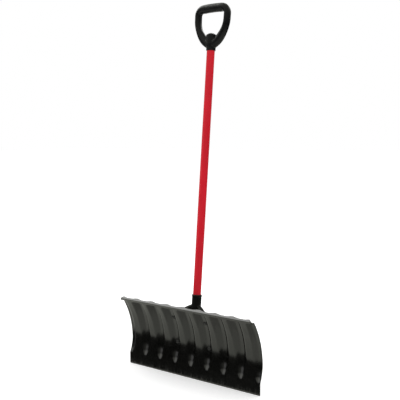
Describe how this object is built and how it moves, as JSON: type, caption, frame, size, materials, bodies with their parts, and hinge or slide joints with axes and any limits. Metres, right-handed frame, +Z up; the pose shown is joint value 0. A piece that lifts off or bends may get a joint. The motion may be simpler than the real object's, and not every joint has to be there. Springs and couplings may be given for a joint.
{
  "type": "snow shovel",
  "caption": "Wide snow shovel for pushing snow: fluted, forward-curled black plastic blade, socket bracket, red coated steel shaft and black D-grip.",
  "frame": {"origin": "middle of the cutting edge, on the ground, half way through the blade's wall", "axes": "+X along the cutting edge to the right as seen from the snow side, +Y towards the back, where the shaft leans, +Z up"},
  "size_m": [0.61, 0.1904, 1.3269],
  "materials": {
    "blade_plastic": "glossy moulded polypropylene",
    "bracket_plastic": "moulded plastic, light sheen",
    "grip_plastic": "moulded plastic, light sheen",
    "red_coat": "smooth red resin coat",
    "tube_steel": "bare steel tube",
    "zinc_steel": "zinc plated",
    "black_steel": "black coated"
  },
  "bodies": {
    "root": {"blade": "blade_plastic", "socket_bracket": "bracket_plastic", "blade_bolts": "black_steel", "blade_washers": "zinc_steel", "blade_nuts": "zinc_steel", "shaft_tube": "tube_steel", "shaft_sleeve": "red_coat", "socket_bolt": "zinc_steel", "socket_washer": "zinc_steel", "socket_nut": "zinc_steel", "d_grip": "grip_plastic", "grip_screw": "zinc_steel"}
  },
  "joints": []
}
